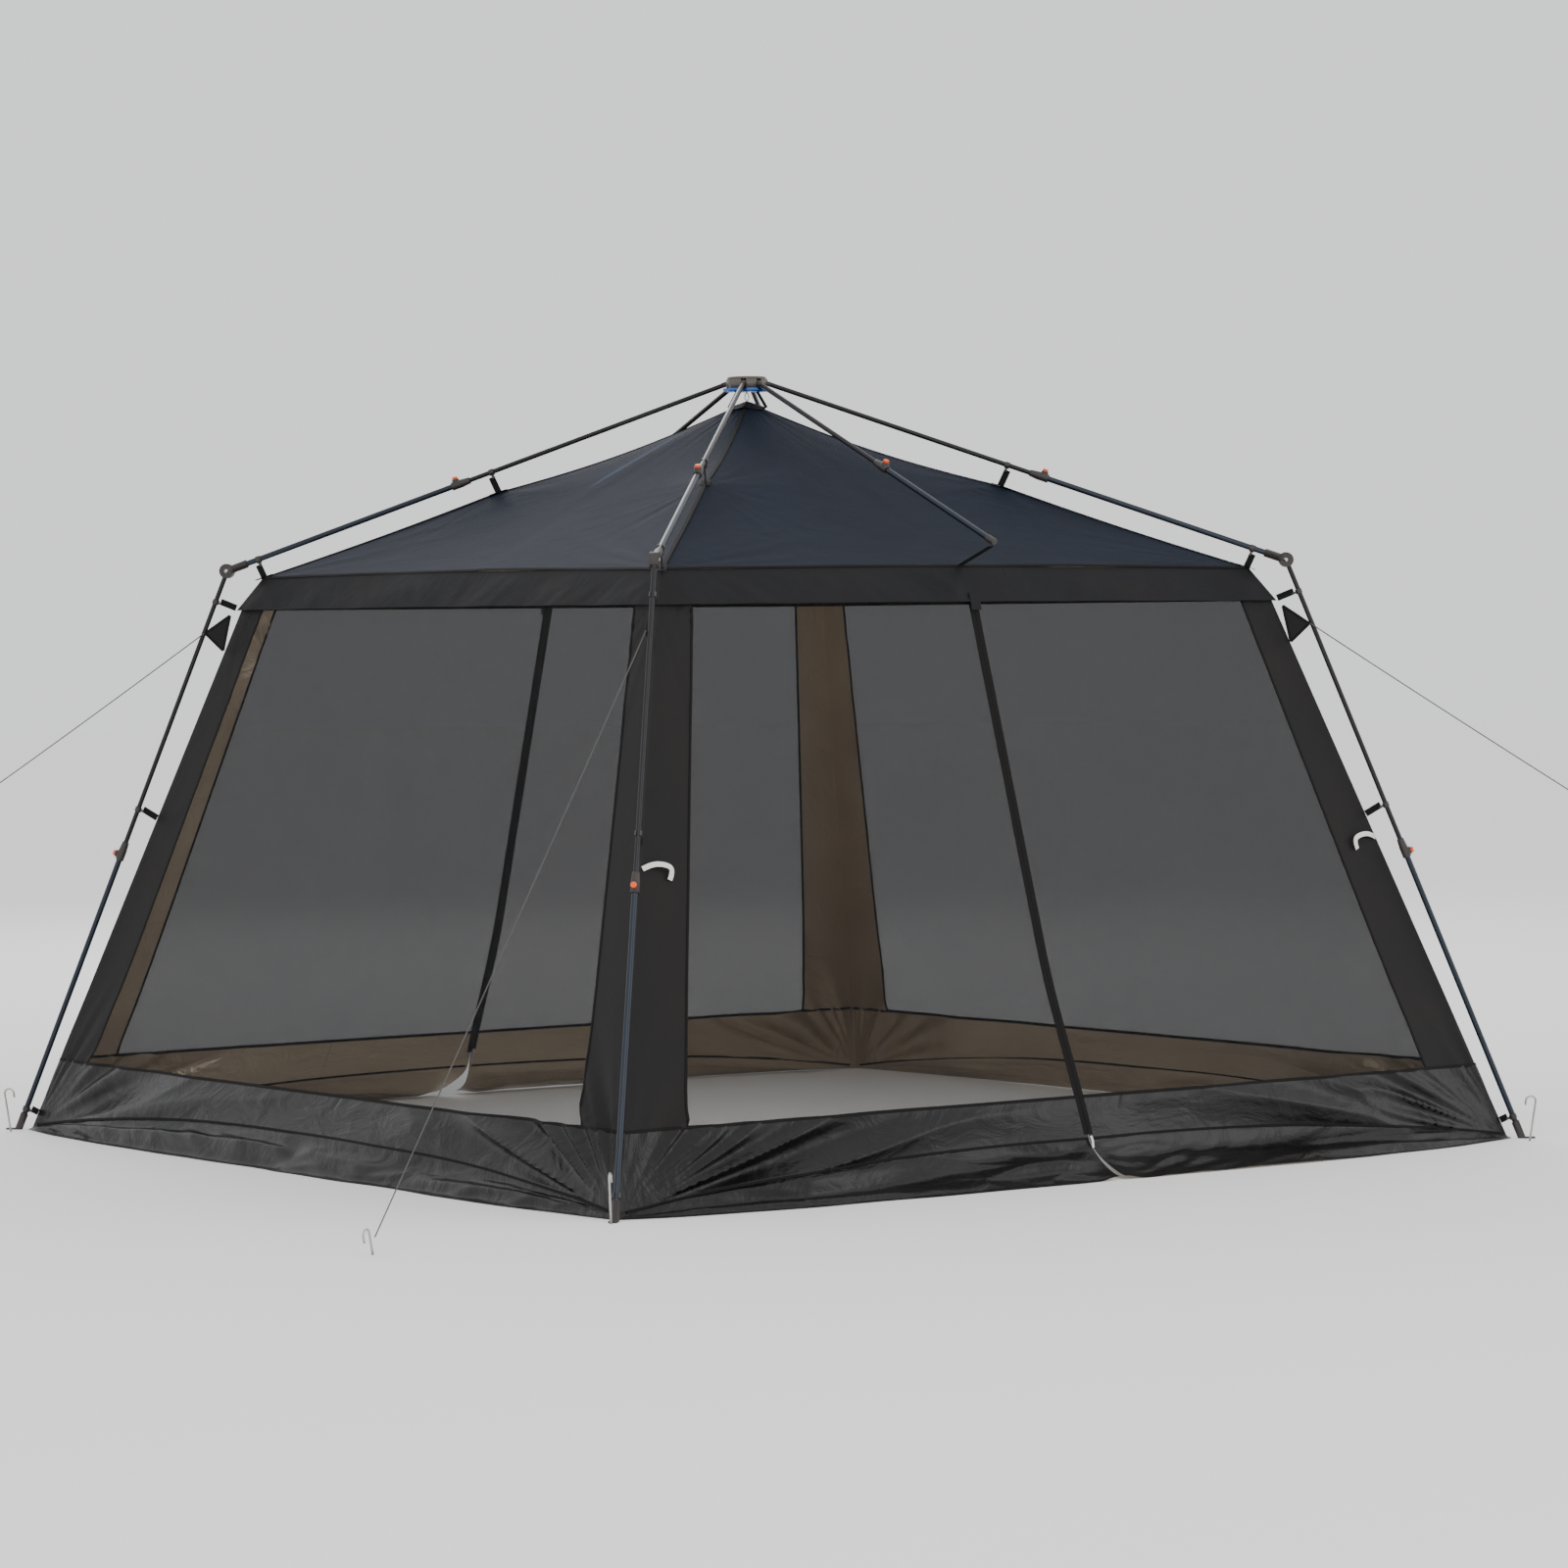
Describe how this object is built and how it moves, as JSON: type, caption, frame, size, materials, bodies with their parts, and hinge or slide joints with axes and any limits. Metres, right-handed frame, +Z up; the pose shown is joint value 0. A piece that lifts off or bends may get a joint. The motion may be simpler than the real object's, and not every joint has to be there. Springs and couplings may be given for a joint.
{
  "type": "screen house",
  "caption": "Square camping screen house: a folding umbrella frame of telescoping tubes with a pyramid canopy, mesh walls, solid skirt and two zipped doors hung inside it.",
  "frame": {"origin": "on the ground in the middle of the room, at the middle of the footprint's box without the guy lines", "axes": "+Z up; the two doors are in the -Y (front) and +Y (back) walls; +X is to the right seen from the front"},
  "size_m": [4.8353, 4.0255, 2.57],
  "materials": {
    "hub_plastic": "moulded, dark grey brown",
    "hub_disc_blue": "moulded, blue",
    "button_orange": "moulded, orange",
    "bright_steel": "zinc plated wire",
    "thin_tube": "powder coated steel tube, dark grey",
    "thick_tube": "powder coated steel tube, near black",
    "fitting_plastic": "moulded, dark brown grey",
    "roof_polyester": "coated polyester, slate navy",
    "band_polyester": "coated polyester, dark navy",
    "wall_mesh": "fine no-see-um netting, dark",
    "strip_polyester": "coated polyester, dark",
    "skirt_polyester": "coated polyester, dark, shiny inside",
    "zip_tape": "woven tape with coil zip, black",
    "zip_slider": "black slider with a pale puller",
    "webbing": "woven polyester webbing, black",
    "guy_cord": "braided reflective cord"
  },
  "bodies": {
    "hub": {"hub_body": "hub_plastic", "hub_cap": "hub_plastic", "hub_disc": "hub_disc_blue", "hub_pins": "bright_steel", "roof_canopy": "roof_polyester", "eave_band": "band_polyester", "wall_mesh_front": "wall_mesh", "wall_mesh_back": "wall_mesh", "wall_mesh_left": "wall_mesh", "wall_mesh_right": "wall_mesh", "corner_strips": "strip_polyester", "skirt": "skirt_polyester", "door_zips": "zip_tape", "hanging_straps": "webbing", "guy_tabs": "webbing", "guy_line_front": "guy_cord", "guy_line_left": "guy_cord", "guy_line_right": "guy_cord", "ground_pegs": "bright_steel", "guy_peg": "bright_steel"},
    "rafter_front_left": {"rafter_inner_front_left": "thin_tube"},
    "rafter_slide_front_left": {"rafter_outer_front_left": "thick_tube", "elbow_front_left": "fitting_plastic"},
    "rafter_button_front_left": {"rafter_button_front_left": "button_orange"},
    "leg_front_left": {"leg_upper_front_left": "thin_tube"},
    "leg_slide_front_left": {"leg_lower_front_left": "thick_tube", "leg_foot_front_left": "fitting_plastic"},
    "leg_button_front_left": {"leg_button_front_left": "button_orange"},
    "rafter_front_right": {"rafter_inner_front_right": "thin_tube"},
    "rafter_slide_front_right": {"rafter_outer_front_right": "thick_tube", "elbow_front_right": "fitting_plastic"},
    "rafter_button_front_right": {"rafter_button_front_right": "button_orange"},
    "leg_front_right": {"leg_upper_front_right": "thin_tube"},
    "leg_slide_front_right": {"leg_lower_front_right": "thick_tube", "leg_foot_front_right": "fitting_plastic"},
    "leg_button_front_right": {"leg_button_front_right": "button_orange"},
    "rafter_back_left": {"rafter_inner_back_left": "thin_tube"},
    "rafter_slide_back_left": {"rafter_outer_back_left": "thick_tube", "elbow_back_left": "fitting_plastic"},
    "rafter_button_back_left": {"rafter_button_back_left": "button_orange"},
    "leg_back_left": {"leg_upper_back_left": "thin_tube"},
    "leg_slide_back_left": {"leg_lower_back_left": "thick_tube", "leg_foot_back_left": "fitting_plastic"},
    "leg_button_back_left": {"leg_button_back_left": "button_orange"},
    "rafter_back_right": {"rafter_inner_back_right": "thin_tube"},
    "rafter_slide_back_right": {"rafter_outer_back_right": "thick_tube", "elbow_back_right": "fitting_plastic"},
    "rafter_button_back_right": {"rafter_button_back_right": "button_orange"},
    "leg_back_right": {"leg_upper_back_right": "thin_tube"},
    "leg_slide_back_right": {"leg_lower_back_right": "thick_tube", "leg_foot_back_right": "fitting_plastic"},
    "leg_button_back_right": {"leg_button_back_right": "button_orange"},
    "eave_rafter_front": {"eave_rafter_inner_front": "thin_tube"},
    "eave_rafter_slide_front": {"eave_rafter_outer_front": "thick_tube"},
    "eave_rafter_button_front": {"eave_rafter_button_front": "button_orange"},
    "zip_slider_front": {"zip_slider_front": "zip_slider"},
    "eave_rafter_back": {"eave_rafter_inner_back": "thin_tube"},
    "eave_rafter_slide_back": {"eave_rafter_outer_back": "thick_tube"},
    "eave_rafter_button_back": {"eave_rafter_button_back": "button_orange"},
    "zip_slider_back": {"zip_slider_back": "zip_slider"}
  },
  "joints": [
    {"name": "rafter_fold_front_left", "type": "hinge", "parent": "hub", "child": "rafter_front_left", "pos_m": [-0.03677, -0.03677, 2.5525], "axis": [0.7071, -0.7071, 0], "range_deg": [0, 32], "deforming": ["roof_canopy", "eave_band", "wall_mesh_front", "wall_mesh_back", "wall_mesh_left", "wall_mesh_right", "corner_strips", "skirt", "door_zips", "hanging_straps", "guy_tabs", "guy_line_front", "guy_line_left", "guy_line_right"]},
    {"name": "rafter_telescope_front_left", "type": "slide", "parent": "rafter_front_left", "child": "rafter_slide_front_left", "axis": [0.667, 0.667, 0.3319], "range_m": [0, 0.72]},
    {"name": "rafter_button_push_front_left", "type": "slide", "parent": "rafter_slide_front_left", "child": "rafter_button_front_left", "axis": [0.2347, 0.2347, -0.9433], "range_m": [0, 0.005], "stiffness_N_per_m": 400, "springref_m": -0.002},
    {"name": "leg_fold_front_left", "type": "hinge", "parent": "rafter_slide_front_left", "child": "leg_front_left", "pos_m": [-1.285, -1.285, 1.9315], "axis": [0.7071, -0.7071, 0], "range_deg": [0, 20]},
    {"name": "leg_telescope_front_left", "type": "slide", "parent": "leg_front_left", "child": "leg_slide_front_left", "axis": [0.2621, 0.2621, 0.9288], "range_m": [0, 0.88]},
    {"name": "leg_button_push_front_left", "type": "slide", "parent": "leg_slide_front_left", "child": "leg_button_front_left", "axis": [0.6567, 0.6567, -0.3706], "range_m": [0, 0.005], "stiffness_N_per_m": 400, "springref_m": -0.002},
    {"name": "rafter_fold_front_right", "type": "hinge", "parent": "hub", "child": "rafter_front_right", "pos_m": [0.03677, -0.03677, 2.5525], "axis": [0.7071, 0.7071, 0], "range_deg": [0, 32]},
    {"name": "rafter_telescope_front_right", "type": "slide", "parent": "rafter_front_right", "child": "rafter_slide_front_right", "axis": [-0.667, 0.667, 0.3319], "range_m": [0, 0.72]},
    {"name": "rafter_button_push_front_right", "type": "slide", "parent": "rafter_slide_front_right", "child": "rafter_button_front_right", "axis": [-0.2347, 0.2347, -0.9433], "range_m": [0, 0.005], "stiffness_N_per_m": 400, "springref_m": -0.002},
    {"name": "leg_fold_front_right", "type": "hinge", "parent": "rafter_slide_front_right", "child": "leg_front_right", "pos_m": [1.285, -1.285, 1.9315], "axis": [0.7071, 0.7071, 0], "range_deg": [0, 20]},
    {"name": "leg_telescope_front_right", "type": "slide", "parent": "leg_front_right", "child": "leg_slide_front_right", "axis": [-0.2621, 0.2621, 0.9288], "range_m": [0, 0.88]},
    {"name": "leg_button_push_front_right", "type": "slide", "parent": "leg_slide_front_right", "child": "leg_button_front_right", "axis": [-0.6567, 0.6567, -0.3706], "range_m": [0, 0.005], "stiffness_N_per_m": 400, "springref_m": -0.002},
    {"name": "rafter_fold_back_left", "type": "hinge", "parent": "hub", "child": "rafter_back_left", "pos_m": [-0.03677, 0.03677, 2.5525], "axis": [-0.7071, -0.7071, 0], "range_deg": [0, 32]},
    {"name": "rafter_telescope_back_left", "type": "slide", "parent": "rafter_back_left", "child": "rafter_slide_back_left", "axis": [0.667, -0.667, 0.3319], "range_m": [0, 0.72]},
    {"name": "rafter_button_push_back_left", "type": "slide", "parent": "rafter_slide_back_left", "child": "rafter_button_back_left", "axis": [0.2347, -0.2347, -0.9433], "range_m": [0, 0.005], "stiffness_N_per_m": 400, "springref_m": -0.002},
    {"name": "leg_fold_back_left", "type": "hinge", "parent": "rafter_slide_back_left", "child": "leg_back_left", "pos_m": [-1.285, 1.285, 1.9315], "axis": [-0.7071, -0.7071, 0], "range_deg": [0, 20]},
    {"name": "leg_telescope_back_left", "type": "slide", "parent": "leg_back_left", "child": "leg_slide_back_left", "axis": [0.2621, -0.2621, 0.9288], "range_m": [0, 0.88]},
    {"name": "leg_button_push_back_left", "type": "slide", "parent": "leg_slide_back_left", "child": "leg_button_back_left", "axis": [0.6567, -0.6567, -0.3706], "range_m": [0, 0.005], "stiffness_N_per_m": 400, "springref_m": -0.002},
    {"name": "rafter_fold_back_right", "type": "hinge", "parent": "hub", "child": "rafter_back_right", "pos_m": [0.03677, 0.03677, 2.5525], "axis": [-0.7071, 0.7071, 0], "range_deg": [0, 32]},
    {"name": "rafter_telescope_back_right", "type": "slide", "parent": "rafter_back_right", "child": "rafter_slide_back_right", "axis": [-0.667, -0.667, 0.3319], "range_m": [0, 0.72]},
    {"name": "rafter_button_push_back_right", "type": "slide", "parent": "rafter_slide_back_right", "child": "rafter_button_back_right", "axis": [-0.2347, -0.2347, -0.9433], "range_m": [0, 0.005], "stiffness_N_per_m": 400, "springref_m": -0.002},
    {"name": "leg_fold_back_right", "type": "hinge", "parent": "rafter_slide_back_right", "child": "leg_back_right", "pos_m": [1.285, 1.285, 1.9315], "axis": [-0.7071, 0.7071, 0], "range_deg": [0, 20]},
    {"name": "leg_telescope_back_right", "type": "slide", "parent": "leg_back_right", "child": "leg_slide_back_right", "axis": [-0.2621, -0.2621, 0.9288], "range_m": [0, 0.88]},
    {"name": "leg_button_push_back_right", "type": "slide", "parent": "leg_slide_back_right", "child": "leg_button_back_right", "axis": [-0.6567, -0.6567, -0.3706], "range_m": [0, 0.005], "stiffness_N_per_m": 400, "springref_m": -0.002},
    {"name": "eave_rafter_fold_front", "type": "hinge", "parent": "hub", "child": "eave_rafter_front", "pos_m": [0, -0.052, 2.5525], "axis": [1, 0, 0], "range_deg": [0, 32]},
    {"name": "eave_rafter_telescope_front", "type": "slide", "parent": "eave_rafter_front", "child": "eave_rafter_slide_front", "axis": [0, 0.9149, 0.4038], "range_m": [0, 0.5]},
    {"name": "eave_rafter_button_push_front", "type": "slide", "parent": "eave_rafter_slide_front", "child": "eave_rafter_button_front", "axis": [0, 0.4038, -0.9149], "range_m": [0, 0.005], "stiffness_N_per_m": 400, "springref_m": -0.002},
    {"name": "eave_rafter_fold_back", "type": "hinge", "parent": "hub", "child": "eave_rafter_back", "pos_m": [0, 0.052, 2.5525], "axis": [-1, 0, 0], "range_deg": [0, 32]},
    {"name": "eave_rafter_telescope_back", "type": "slide", "parent": "eave_rafter_back", "child": "eave_rafter_slide_back", "axis": [0, -0.9149, 0.4038], "range_m": [0, 0.5]},
    {"name": "eave_rafter_button_push_back", "type": "slide", "parent": "eave_rafter_slide_back", "child": "eave_rafter_button_back", "axis": [0, -0.4038, -0.9149], "range_m": [0, 0.005], "stiffness_N_per_m": 400, "springref_m": -0.002},
    {"name": "zip_front", "type": "slide", "parent": "hub", "child": "zip_slider_front", "axis": [0, 0.2907, 0.9568], "range_m": [-0.08, 1.63]},
    {"name": "zip_back", "type": "slide", "parent": "hub", "child": "zip_slider_back", "axis": [0, -0.2907, 0.9568], "range_m": [-0.08, 1.59]}
  ],
  "couplings": [
    {"joint": "leg_fold_front_left", "follows": "rafter_fold_front_left", "ratio": 0.625},
    {"joint": "rafter_fold_front_right", "follows": "rafter_fold_front_left", "ratio": 1},
    {"joint": "leg_fold_front_right", "follows": "rafter_fold_front_left", "ratio": 0.625},
    {"joint": "rafter_fold_back_left", "follows": "rafter_fold_front_left", "ratio": 1},
    {"joint": "leg_fold_back_left", "follows": "rafter_fold_front_left", "ratio": 0.625},
    {"joint": "rafter_fold_back_right", "follows": "rafter_fold_front_left", "ratio": 1},
    {"joint": "leg_fold_back_right", "follows": "rafter_fold_front_left", "ratio": 0.625},
    {"joint": "eave_rafter_fold_front", "follows": "rafter_fold_front_left", "ratio": 1},
    {"joint": "eave_rafter_fold_back", "follows": "rafter_fold_front_left", "ratio": 1}
  ]
}
